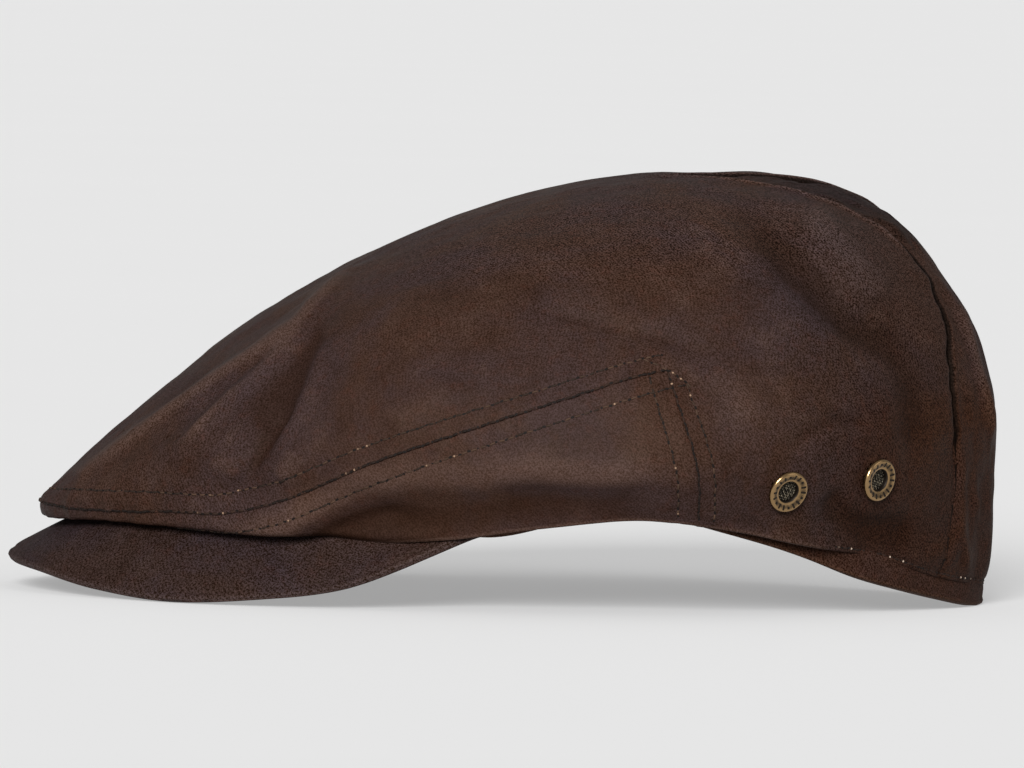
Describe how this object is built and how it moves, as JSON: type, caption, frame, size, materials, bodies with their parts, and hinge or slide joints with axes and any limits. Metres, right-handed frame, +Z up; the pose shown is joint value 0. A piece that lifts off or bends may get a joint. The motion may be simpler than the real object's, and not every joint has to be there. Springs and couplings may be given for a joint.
{
  "type": "waxed cotton flat cap",
  "caption": "Soft brown waxed cotton flat cap with a seamed front band, a tapering back gusset, a stiff curved peak, brass vent eyelets and an inner head band.",
  "frame": {"origin": "centre of the cap's outline seen from above, on the surface that it rests on", "axes": "+Z up, +X towards the back of the cap, so the peak points along -X and the wearer's left side is -Y"},
  "size_m": [0.2758, 0.2024, 0.1189],
  "materials": {
    "crown_cloth": "waxed, mottled sheen",
    "band_cloth": "waxed, mottled sheen",
    "gusset_cloth": "waxed, mottled sheen",
    "peak_cloth": "waxed, mottled sheen",
    "head_band_cloth": "matte",
    "brass": "antiqued",
    "gauze": "black wire gauze"
  },
  "bodies": {
    "root": {"crown_top": "crown_cloth", "front_band": "band_cloth", "back_gusset": "gusset_cloth", "peak": "peak_cloth", "head_band": "head_band_cloth", "eyelet_left_front": "brass", "mesh_left_front": "gauze", "eyelet_left_rear": "brass", "mesh_left_rear": "gauze", "eyelet_right_front": "brass", "mesh_right_front": "gauze", "eyelet_right_rear": "brass", "mesh_right_rear": "gauze"}
  },
  "joints": []
}
